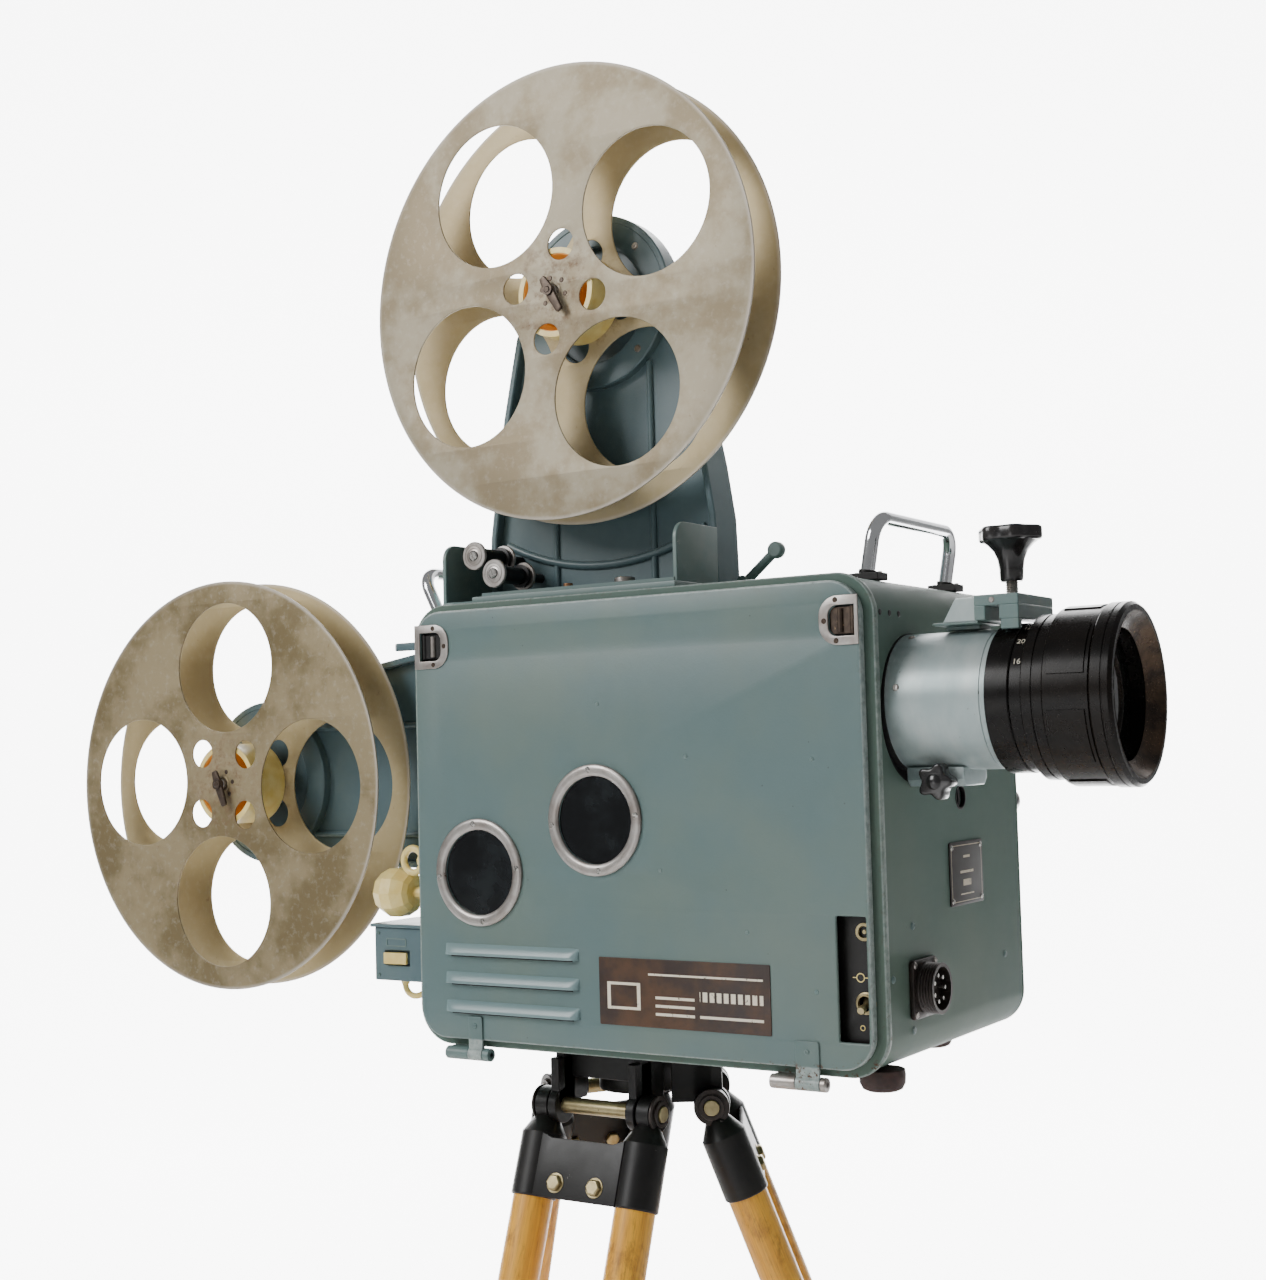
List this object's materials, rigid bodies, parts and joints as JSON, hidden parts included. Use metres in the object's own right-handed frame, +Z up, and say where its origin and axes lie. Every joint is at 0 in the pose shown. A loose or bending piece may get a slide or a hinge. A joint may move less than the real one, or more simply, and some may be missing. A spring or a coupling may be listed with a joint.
{
  "type": "film projector",
  "caption": "Portable film projector: enamelled case with a hinged door, reel arms with reels, a lens attachment, and a folding wooden tripod.",
  "frame": {"origin": "middle of the bottom of the whole object's bounding box, on the floor between the tripod legs", "axes": "+X the way the light is thrown, +Y away from the hinged door towards the drive side, +Z up"},
  "size_m": [1.0498, 0.6732, 1.783],
  "materials": {
    "enamel": "semi-gloss",
    "rubber": "matte",
    "steel": "satin",
    "tinted_glass": "tinted",
    "dark_enamel": "semi-gloss",
    "black_enamel": "satin",
    "silver_enamel": "worn silver paint",
    "anodised_alloy": "satin",
    "ivory_plastic": "satin",
    "chrome": "polished",
    "tinned_sheet": "matte",
    "wood": "varnished",
    "black_plastic": "satin"
  },
  "bodies": {
    "case": {"case_shell": "enamel", "drive_side_cover": "enamel", "foot_near": "rubber", "foot_far": "rubber", "rear_hinge": "enamel", "front_hinge": "steel", "mechanism_plate": "dark_enamel", "lamp_house": "black_enamel", "film_gate": "steel", "lens_holder": "silver_enamel", "attachment_bracket": "enamel", "attachment_barrel": "anodised_alloy", "attachment_glass": "tinted_glass", "connector": "anodised_alloy", "switch_panel": "black_enamel", "rear_switch_box": "dark_enamel", "box_lead": "ivory_plastic", "front_handle": "chrome", "rear_handle": "chrome", "upper_arm": "dark_enamel", "lower_arm": "dark_enamel", "top_tray": "enamel", "tripod_head": "black_enamel"},
    "door": {"door_panel": "enamel", "porthole_ring_rear": "steel", "porthole_ring_front": "steel", "porthole_glass_rear": "tinted_glass", "porthole_glass_front": "tinted_glass"},
    "upper_reel": {"upper_reel_front": "tinned_sheet", "upper_reel_rear": "tinned_sheet", "upper_reel_core": "ivory_plastic", "upper_spindle": "steel"},
    "lower_reel": {"lower_reel_front": "tinned_sheet", "lower_reel_rear": "tinned_sheet", "lower_reel_core": "ivory_plastic", "lower_spindle": "steel"},
    "leg_1": {"leg_bracket_1": "black_enamel", "leg_poles_1": "wood"},
    "leg_2": {"leg_bracket_2": "black_enamel", "leg_poles_2": "wood"},
    "leg_3": {"leg_bracket_3": "black_enamel", "leg_poles_3": "wood"},
    "rear_latch": {"rear_latch": "steel"},
    "front_latch": {"front_latch": "steel"},
    "feed_sprocket": {"feed_sprocket": "steel"},
    "intermittent_sprocket": {"intermittent_sprocket": "steel"},
    "holdback_sprocket": {"holdback_sprocket": "steel"},
    "clamp_knob": {"clamp_knob": "black_plastic"},
    "focus_knob": {"focus_knob": "black_plastic"},
    "focus_ring": {"focus_ring": "anodised_alloy"},
    "toggle_lever": {"toggle_lever": "steel"},
    "rocker_switch": {"rocker_switch": "ivory_plastic"},
    "inching_knob": {"inching_knob": "ivory_plastic"},
    "framing_lever": {"framing_lever": "ivory_plastic"},
    "arm_release_lever": {"arm_release_lever": "dark_enamel"},
    "film_roller_upper": {"film_roller_upper": "black_plastic"},
    "film_roller_lower": {"film_roller_lower": "black_plastic"},
    "clamp_lever": {"clamp_lever": "steel"},
    "upper_reel_key": {"upper_reel_key": "steel"},
    "lower_reel_key": {"lower_reel_key": "steel"}
  },
  "joints": [
    {"name": "door_hinge", "type": "hinge", "parent": "case", "child": "door", "pos_m": [0.1506, -0.05288, 0.9718], "axis": [1, 0, 0], "range_deg": [0, 105]},
    {"name": "rear_latch_hinge", "type": "hinge", "parent": "door", "child": "rear_latch", "pos_m": [-0.0474, -0.05198, 1.3007], "axis": [0, 0, 1], "range_deg": [-35, 0], "stiffness_Nm_per_rad": 0.02, "springref_deg": 22.92},
    {"name": "front_latch_hinge", "type": "hinge", "parent": "door", "child": "front_latch", "pos_m": [0.3438, -0.05198, 1.3002], "axis": [0, 0, 1], "range_deg": [0, 35], "stiffness_Nm_per_rad": 0.02, "springref_deg": -22.92},
    {"name": "upper_reel_spin", "type": "hinge", "parent": "case", "child": "upper_reel", "pos_m": [0.0556, 0.02432, 1.593], "axis": [0, 1, 0], "continuous": true},
    {"name": "lower_reel_spin", "type": "hinge", "parent": "case", "child": "lower_reel", "pos_m": [-0.3349, 0.02432, 1.1896], "axis": [0, 1, 0], "continuous": true},
    {"name": "upper_key_turn", "type": "hinge", "parent": "upper_reel", "child": "upper_reel_key", "pos_m": [0.0556, -0.00818, 1.593], "axis": [0, 1, 0], "range_deg": [0, 90]},
    {"name": "lower_key_turn", "type": "hinge", "parent": "lower_reel", "child": "lower_reel_key", "pos_m": [-0.3349, -0.00818, 1.1896], "axis": [0, 1, 0], "range_deg": [0, 90]},
    {"name": "upper_roller_spin", "type": "hinge", "parent": "case", "child": "film_roller_upper", "pos_m": [-0.0334, 0.02432, 1.3797], "axis": [0, 1, 0], "continuous": true},
    {"name": "lower_roller_spin", "type": "hinge", "parent": "case", "child": "film_roller_lower", "pos_m": [-0.0128, 0.02432, 1.3633], "axis": [0, 1, 0], "continuous": true},
    {"name": "clamp_lever_swing", "type": "hinge", "parent": "case", "child": "clamp_lever", "pos_m": [0.1816, 0.08432, 1.3472], "axis": [0, 1, 0], "range_deg": [-50, 30]},
    {"name": "clamp_knob_turn", "type": "hinge", "parent": "case", "child": "clamp_knob", "pos_m": [0.4356, 0.01932, 1.34], "axis": [0, 0, 1], "range_deg": [-180, 180]},
    {"name": "focus_knob_turn", "type": "hinge", "parent": "case", "child": "focus_knob", "pos_m": [0.3866, -0.00568, 1.184], "axis": [0, 1, 0], "range_deg": [-150, 150]},
    {"name": "focus_ring_turn", "type": "hinge", "parent": "case", "child": "focus_ring", "pos_m": [0.4916, 0.01932, 1.2415], "axis": [1, 0, 0], "range_deg": [-135, 135]},
    {"name": "toggle_tilt", "type": "hinge", "parent": "case", "child": "toggle_lever", "pos_m": [0.341, -0.04128, 1.0297], "axis": [1, 0, 0], "range_deg": [-32, 0]},
    {"name": "rocker_tilt", "type": "hinge", "parent": "case", "child": "rocker_switch", "pos_m": [-0.1079, -0.02068, 1.0402], "axis": [0, 0, 1], "range_deg": [-8, 8]},
    {"name": "inching_spin", "type": "hinge", "parent": "case", "child": "inching_knob", "pos_m": [-0.0994, -0.01068, 1.095], "axis": [1, 0, 0], "continuous": true},
    {"name": "framing_turn", "type": "hinge", "parent": "case", "child": "framing_lever", "pos_m": [-0.0744, -0.02068, 1.123], "axis": [1, 0, 0], "range_deg": [-60, 60]},
    {"name": "arm_release_swing", "type": "hinge", "parent": "case", "child": "arm_release_lever", "pos_m": [-0.0694, 0.04032, 1.3095], "axis": [0, 0, 1], "range_deg": [0, 15]},
    {"name": "feed_spin", "type": "hinge", "parent": "case", "child": "feed_sprocket", "pos_m": [0.1686, 0.02432, 1.292], "axis": [0, 1, 0], "continuous": true},
    {"name": "intermittent_spin", "type": "hinge", "parent": "case", "child": "intermittent_sprocket", "pos_m": [0.1846, 0.02432, 1.176], "axis": [0, 1, 0], "continuous": true},
    {"name": "holdback_spin", "type": "hinge", "parent": "case", "child": "holdback_sprocket", "pos_m": [0.1166, 0.02432, 1.152], "axis": [0, 1, 0], "continuous": true},
    {"name": "leg_1_fold", "type": "hinge", "parent": "case", "child": "leg_1", "pos_m": [0.0646, 0.02332, 0.921], "axis": [1, 0, 0], "range_deg": [0, 19]},
    {"name": "leg_2_fold", "type": "hinge", "parent": "case", "child": "leg_2", "pos_m": [0.11743, 0.11482, 0.921], "axis": [-0.5, 0.866, 0], "range_deg": [0, 19]},
    {"name": "leg_3_fold", "type": "hinge", "parent": "case", "child": "leg_3", "pos_m": [0.01177, 0.11482, 0.921], "axis": [-0.5, -0.866, 0], "range_deg": [0, 19]}
  ],
  "couplings": [
    {"joint": "intermittent_spin", "follows": "inching_spin", "ratio": 1},
    {"joint": "feed_spin", "follows": "inching_spin", "ratio": 0.765},
    {"joint": "holdback_spin", "follows": "inching_spin", "ratio": 0.765}
  ]
}
